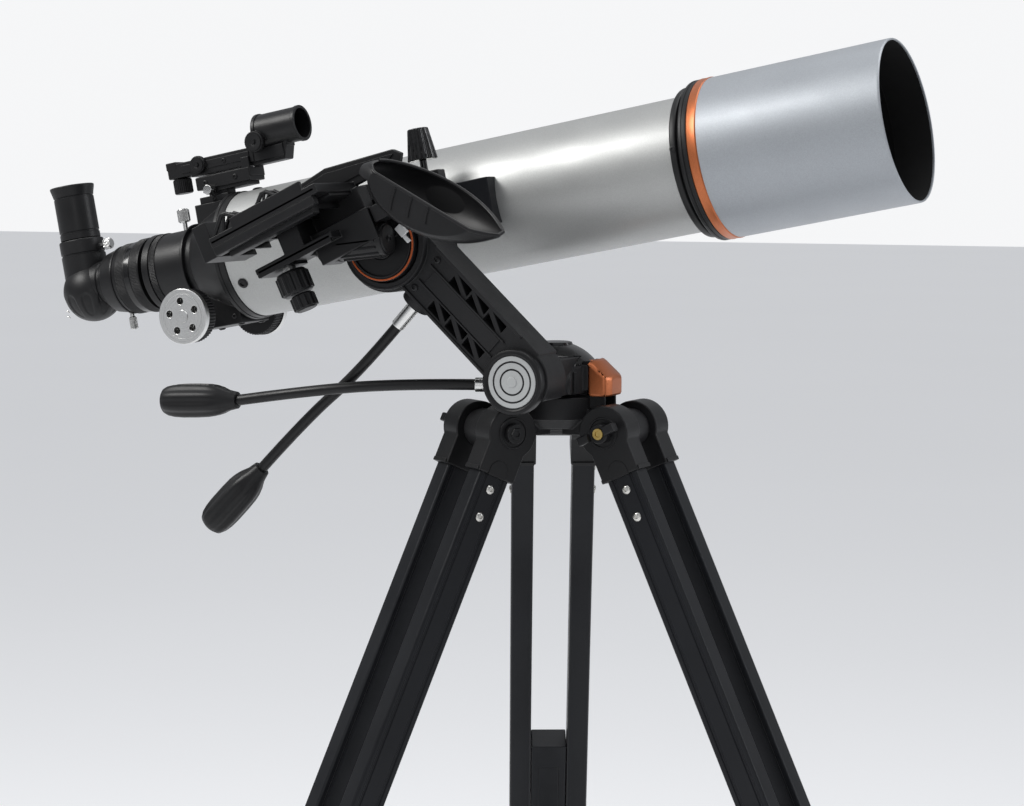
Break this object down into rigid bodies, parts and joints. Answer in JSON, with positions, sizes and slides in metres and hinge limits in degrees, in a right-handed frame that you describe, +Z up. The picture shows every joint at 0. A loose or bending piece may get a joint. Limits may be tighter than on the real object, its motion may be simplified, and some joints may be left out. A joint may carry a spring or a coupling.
{
  "type": "refractor telescope",
  "caption": "Refractor telescope with dew shield, focuser, star diagonal, sight and phone dock, on an alt-azimuth arm head with control cables and a folding tripod.",
  "frame": {"origin": "on the floor below the azimuth axis", "axes": "+Z up, +X the way the tube points, -Y the side of the support arm and the phone dock"},
  "size_m": [1.0197, 0.8749, 1.2175],
  "materials": {
    "tube_paint": "fine metallic silver-grey",
    "shield_paint": "metallic blue-grey",
    "copper": "copper-orange anodised",
    "lens_glass": "coated optical glass",
    "satin_black": "satin black",
    "black_anodised": "black anodised",
    "gloss_black": "glossy black",
    "cap_grey": "light grey",
    "cable_black": "black sleeve",
    "bright_steel": "bright steel",
    "brushed_knob": "brushed",
    "foot_rubber": "rubber"
  },
  "bodies": {
    "tripod": {"tripod_hub": "satin_black", "leg_pivot_bolts": "bright_steel", "azimuth_post": "bright_steel"},
    "head": {"azimuth_casting": "satin_black", "azimuth_dome": "gloss_black", "copper_block": "copper", "support_arm": "satin_black", "arm_cap": "cap_grey", "azimuth_cable": "cable_black", "altitude_cable": "cable_black"},
    "azimuth_worm_body": {"azimuth_worm": "bright_steel"},
    "azimuth_knob_body": {"azimuth_cable_knob": "satin_black"},
    "altitude_worm_body": {"altitude_worm": "bright_steel"},
    "altitude_knob_body": {"altitude_cable_knob": "satin_black"},
    "telescope": {"main_tube": "tube_paint", "objective_cell": "satin_black", "copper_ring": "copper", "objective_lens": "lens_glass", "dew_shield": "shield_paint", "focuser_body": "satin_black", "finder_bracket": "satin_black", "dovetail_bar": "black_anodised", "altitude_saddle": "satin_black", "dock_frame": "satin_black", "dock_hood": "satin_black"},
    "focus_tube": {"drawtube": "satin_black"},
    "focus_drive": {"focus_axle": "bright_steel", "focus_knobs": "brushed_knob"},
    "diagonal": {"star_diagonal": "satin_black"},
    "ocular": {"eyepiece": "satin_black"},
    "finder": {"finder_sight": "satin_black"},
    "focuser_lock": {"focuser_lock_screw": "bright_steel"},
    "diagonal_lock": {"diagonal_lock_screw": "bright_steel"},
    "eyepiece_lock": {"eyepiece_lock_screw": "bright_steel"},
    "saddle_clamp": {"dovetail_knob": "satin_black"},
    "phone_jaw": {"dock_jaw": "satin_black"},
    "side_adjuster": {"dock_side_knob": "satin_black"},
    "fine_adjuster": {"dock_fine_knob": "satin_black"},
    "spreader_hub": {"brace_hub": "satin_black"},
    "leg_1": {"leg_1_outer_tubes": "black_anodised", "leg_1_brackets": "satin_black"},
    "leg_1_extension": {"leg_1_inner_leg": "black_anodised", "leg_1_foot": "foot_rubber"},
    "leg_1_lock": {"leg_1_lock_knob": "satin_black"},
    "leg_1_nut": {"leg_1_wing_nut": "satin_black"},
    "leg_2": {"leg_2_outer_tubes": "black_anodised", "leg_2_brackets": "satin_black"},
    "leg_2_extension": {"leg_2_inner_leg": "black_anodised", "leg_2_foot": "foot_rubber"},
    "leg_2_lock": {"leg_2_lock_knob": "satin_black"},
    "leg_2_nut": {"leg_2_wing_nut": "satin_black"},
    "leg_3": {"leg_3_outer_tubes": "black_anodised", "leg_3_brackets": "satin_black"},
    "leg_3_extension": {"leg_3_inner_leg": "black_anodised", "leg_3_foot": "foot_rubber"},
    "leg_3_lock": {"leg_3_lock_knob": "satin_black"},
    "leg_3_nut": {"leg_3_wing_nut": "satin_black"},
    "brace_1": {"brace_arm_1": "black_anodised"},
    "brace_2": {"brace_arm_2": "black_anodised"},
    "brace_3": {"brace_arm_3": "black_anodised"}
  },
  "joints": [
    {"name": "azimuth", "type": "hinge", "parent": "tripod", "child": "head", "pos_m": [0, 0, 0.9365], "axis": [0, 0, 1], "continuous": true},
    {"name": "altitude", "type": "hinge", "parent": "head", "child": "telescope", "pos_m": [-0.109, -0.06, 1.057], "axis": [0, -1, 0], "range_deg": [-25, 59]},
    {"name": "focus_slide", "type": "slide", "parent": "telescope", "child": "focus_tube", "axis": [-0.9821, 0, -0.1882], "range_m": [-0.003, 0.07]},
    {"name": "focus_pinion", "type": "hinge", "parent": "telescope", "child": "focus_drive", "pos_m": [-0.34313, 0.045, 0.98901], "axis": [0, 1, 0], "range_deg": [-551, 25]},
    {"name": "diagonal_turn", "type": "hinge", "parent": "focus_tube", "child": "diagonal", "pos_m": [-0.44196, 0.045, 1.01589], "axis": [0.9821, 0, 0.1882], "range_deg": [-90, 90]},
    {"name": "eyepiece_lift", "type": "slide", "parent": "diagonal", "child": "ocular", "axis": [-0.1882, 0, 0.9821], "range_m": [0, 0.03]},
    {"name": "finder_tilt", "type": "hinge", "parent": "telescope", "child": "finder", "pos_m": [-0.31362, 0.045, 1.12194], "axis": [0, -1, 0], "range_deg": [-1.5, 1.5]},
    {"name": "focuser_lock_turn", "type": "hinge", "parent": "telescope", "child": "focuser_lock", "pos_m": [-0.3818, 0.045, 1.05797], "axis": [-0.1882, 0, 0.9821], "continuous": true},
    {"name": "diagonal_lock_turn", "type": "hinge", "parent": "focus_tube", "child": "diagonal_lock", "pos_m": [-0.44122, 0.045, 0.98549], "axis": [0.1882, 0, -0.9821], "continuous": true},
    {"name": "eyepiece_lock_turn", "type": "hinge", "parent": "diagonal", "child": "eyepiece_lock", "pos_m": [-0.46837, 0.045, 1.04748], "axis": [0.9821, 0, 0.1882], "continuous": true},
    {"name": "saddle_clamp_turn", "type": "hinge", "parent": "telescope", "child": "saddle_clamp", "pos_m": [-0.10762, -0.0285, 1.13088], "axis": [-0.1882, 0, 0.9821], "continuous": true},
    {"name": "azimuth_control", "type": "hinge", "parent": "head", "child": "azimuth_knob_body", "pos_m": [-0.246, -0.09, 0.9265], "axis": [-0.9975, -0.057, -0.0427], "continuous": true},
    {"name": "azimuth_worm_turn", "type": "hinge", "parent": "head", "child": "azimuth_worm_body", "pos_m": [0.01101, -0.03026, 0.944], "axis": [-0.9397, -0.342, 0], "continuous": true},
    {"name": "altitude_control", "type": "hinge", "parent": "head", "child": "altitude_knob_body", "pos_m": [-0.234, -0.073, 0.869], "axis": [-0.689, -0.0656, -0.7218], "continuous": true},
    {"name": "altitude_worm_turn", "type": "hinge", "parent": "head", "child": "altitude_worm_body", "pos_m": [-0.07531, -0.069, 1.02568], "axis": [-0.6809, 0, -0.7323], "continuous": true},
    {"name": "phone_clamp", "type": "slide", "parent": "telescope", "child": "phone_jaw", "axis": [-0.9063, 0, -0.4226], "range_m": [0, 0.02]},
    {"name": "side_adjust", "type": "hinge", "parent": "telescope", "child": "side_adjuster", "pos_m": [-0.17389, -0.12, 1.02674], "axis": [0.4226, 0, -0.9063], "continuous": true},
    {"name": "fine_adjust", "type": "hinge", "parent": "telescope", "child": "fine_adjuster", "pos_m": [-0.16399, -0.12, 1.00929], "axis": [0.4226, 0, -0.9063], "continuous": true},
    {"name": "leg_1_fold", "type": "hinge", "parent": "tripod", "child": "leg_1", "pos_m": [-0.02781, 0.05597, 0.9088], "axis": [-0.8956, -0.4449, 0], "range_deg": [0, 20]},
    {"name": "leg_1_extend", "type": "slide", "parent": "leg_1", "child": "leg_1_extension", "axis": [-0.1844, 0.3712, -0.91], "range_m": [-0.27, 0.23]},
    {"name": "leg_1_lock_turn", "type": "hinge", "parent": "leg_1", "child": "leg_1_lock", "pos_m": [-0.15893, 0.31987, 0.33426], "axis": [-0.4049, 0.815, 0.4145], "continuous": true},
    {"name": "leg_1_nut_turn", "type": "hinge", "parent": "tripod", "child": "leg_1_nut", "pos_m": [-0.02781, 0.05597, 0.9088], "axis": [0.8956, 0.4449, 0], "continuous": true},
    {"name": "leg_2_fold", "type": "hinge", "parent": "tripod", "child": "leg_2", "pos_m": [-0.03457, -0.05207, 0.9088], "axis": [0.8331, -0.5531, 0], "range_deg": [0, 20]},
    {"name": "leg_2_extend", "type": "slide", "parent": "leg_2", "child": "leg_2_extension", "axis": [-0.2293, -0.3454, -0.91], "range_m": [-0.27, 0.23]},
    {"name": "leg_2_lock_turn", "type": "hinge", "parent": "leg_2", "child": "leg_2_lock", "pos_m": [-0.19755, -0.29757, 0.33426], "axis": [-0.5033, -0.7582, 0.4145], "continuous": true},
    {"name": "leg_2_nut_turn", "type": "hinge", "parent": "tripod", "child": "leg_2_nut", "pos_m": [-0.03457, -0.05207, 0.9088], "axis": [-0.8331, 0.5531, 0], "continuous": true},
    {"name": "leg_3_fold", "type": "hinge", "parent": "tripod", "child": "leg_3", "pos_m": [0.06238, -0.0039, 0.9088], "axis": [0.0624, 0.998, 0], "range_deg": [0, 20]},
    {"name": "leg_3_extend", "type": "slide", "parent": "leg_3", "child": "leg_3_extension", "axis": [0.4137, -0.0259, -0.91], "range_m": [-0.27, 0.23]},
    {"name": "leg_3_lock_turn", "type": "hinge", "parent": "leg_3", "child": "leg_3_lock", "pos_m": [0.35648, -0.0223, 0.33426], "axis": [0.9083, -0.0568, 0.4145], "continuous": true},
    {"name": "leg_3_nut_turn", "type": "hinge", "parent": "tripod", "child": "leg_3_nut", "pos_m": [0.06238, -0.0039, 0.9088], "axis": [-0.0624, -0.998, 0], "continuous": true},
    {"name": "spreader_lift", "type": "slide", "parent": "tripod", "child": "spreader_hub", "axis": [0, 0, 1], "range_m": [0, 0.0765]},
    {"name": "brace_1_hinge", "type": "hinge", "parent": "spreader_hub", "child": "brace_1", "pos_m": [-0.01335, 0.02687, 0.57157], "axis": [-0.8956, -0.4449, 0], "range_deg": [0, 42]},
    {"name": "brace_2_hinge", "type": "hinge", "parent": "spreader_hub", "child": "brace_2", "pos_m": [-0.01659, -0.02499, 0.57157], "axis": [0.8331, -0.5531, 0], "range_deg": [0, 42]},
    {"name": "brace_3_hinge", "type": "hinge", "parent": "spreader_hub", "child": "brace_3", "pos_m": [0.02994, -0.00187, 0.57157], "axis": [0.0624, 0.998, 0], "range_deg": [0, 42]}
  ],
  "couplings": [
    {"joint": "focus_pinion", "follows": "focus_slide", "rad_per_m": -136.99},
    {"joint": "azimuth_worm_turn", "follows": "azimuth_control", "ratio": 1},
    {"joint": "altitude_worm_turn", "follows": "altitude_control", "ratio": 1},
    {"joint": "leg_2_fold", "follows": "leg_1_fold", "ratio": 1},
    {"joint": "leg_3_fold", "follows": "leg_1_fold", "ratio": 1},
    {"joint": "spreader_lift", "follows": "leg_1_fold", "m_per_rad": 0.21851},
    {"joint": "brace_1_hinge", "follows": "leg_1_fold", "ratio": 2.0599},
    {"joint": "brace_2_hinge", "follows": "leg_1_fold", "ratio": 2.0599},
    {"joint": "brace_3_hinge", "follows": "leg_1_fold", "ratio": 2.0599}
  ]
}
